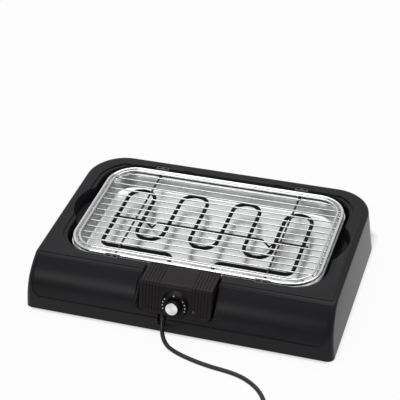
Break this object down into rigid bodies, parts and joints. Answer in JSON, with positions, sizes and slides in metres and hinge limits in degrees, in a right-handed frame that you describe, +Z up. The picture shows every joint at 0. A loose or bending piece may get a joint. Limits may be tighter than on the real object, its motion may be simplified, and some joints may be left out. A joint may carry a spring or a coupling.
{
  "type": "tabletop_electric_grill",
  "caption": "Open tabletop electric grill with a wire rack over a steel drip tray, a serpentine heating element and a lift-out front control unit with a dial and mains lead",
  "frame": {"origin": "middle of the grill's outline on the table, the lead and plug left out", "axes": "+X along the grill's long side to the user's right, +Y away from the user, +Z up"},
  "size_m": [0.51, 0.6325, 0.085],
  "materials": {
    "body_plastic": "fine satin moulded black",
    "housing_plastic": "satin moulded black",
    "knob_plastic": "smooth black",
    "foot_rubber": "matt",
    "tray_steel": "bright polished sheet",
    "rack_chrome": "bright plated wire",
    "rest_steel": "black coated",
    "element_metal": "dark oxidised sheath",
    "screw_steel": "zinc plated",
    "pin_brass": "nickel plated brass",
    "cap_aluminium": "spun brushed disc",
    "ceramic_white": "off-white moulding",
    "mark_white": "printed dots",
    "lens_red": "translucent red",
    "lamp_glass": "clear",
    "wire_cover": "heat-proof sleeve",
    "lead_rubber": "smooth black sheath"
  },
  "bodies": {
    "base": {"base_shell": "body_plastic", "rubber_feet": "foot_rubber"},
    "tray": {"drip_tray": "tray_steel"},
    "control": {"element_sheath": "element_metal", "element_support": "element_metal", "element_flange": "rest_steel", "element_terminals": "pin_brass", "control_housing": "housing_plastic", "housing_cover": "housing_plastic", "housing_screws": "screw_steel", "thermostat_body": "ceramic_white", "dial_ring": "knob_plastic", "dial_marks": "mark_white", "indicator_lens": "lens_red", "neon_lamp": "lamp_glass", "terminal_block": "ceramic_white", "safety_switch": "knob_plastic", "plunger_spring": "screw_steel", "internal_wires": "wire_cover", "strain_relief": "lead_rubber", "power_cord": "lead_rubber", "cord_coil": "lead_rubber", "coil_tie": "lead_rubber", "plug_body": "lead_rubber", "plug_pins": "pin_brass"},
    "knob": {"thermostat_shaft": "screw_steel", "control_knob": "knob_plastic", "knob_cap": "cap_aluminium"},
    "plunger": {"switch_plunger": "lens_red"},
    "rack": {"rack_outer_rim": "rack_chrome", "rack_inner_rim": "rack_chrome", "rack_bars": "rack_chrome", "rack_cross_wires": "rack_chrome", "rack_rests": "rest_steel"}
  },
  "joints": [
    {"name": "tray_lift", "type": "slide", "parent": "base", "child": "tray", "axis": [0, 0, 1], "range_m": [0, 0.1]},
    {"name": "control_lift", "type": "slide", "parent": "tray", "child": "control", "axis": [0, 0, 1], "range_m": [0, 0.1]},
    {"name": "rack_lift", "type": "slide", "parent": "control", "child": "rack", "axis": [0, 0, 1], "range_m": [0, 0.1]},
    {"name": "knob_turn", "type": "hinge", "parent": "control", "child": "knob", "pos_m": [0, -0.16168, 0.0545], "axis": [0, -0.9563, 0.2924], "range_deg": [-270, 0]},
    {"name": "plunger_press", "type": "slide", "parent": "control", "child": "plunger", "axis": [0, 0, 1], "range_m": [0, 0.0015], "stiffness_N_per_m": 200, "deforming": ["plunger_spring"]}
  ]
}
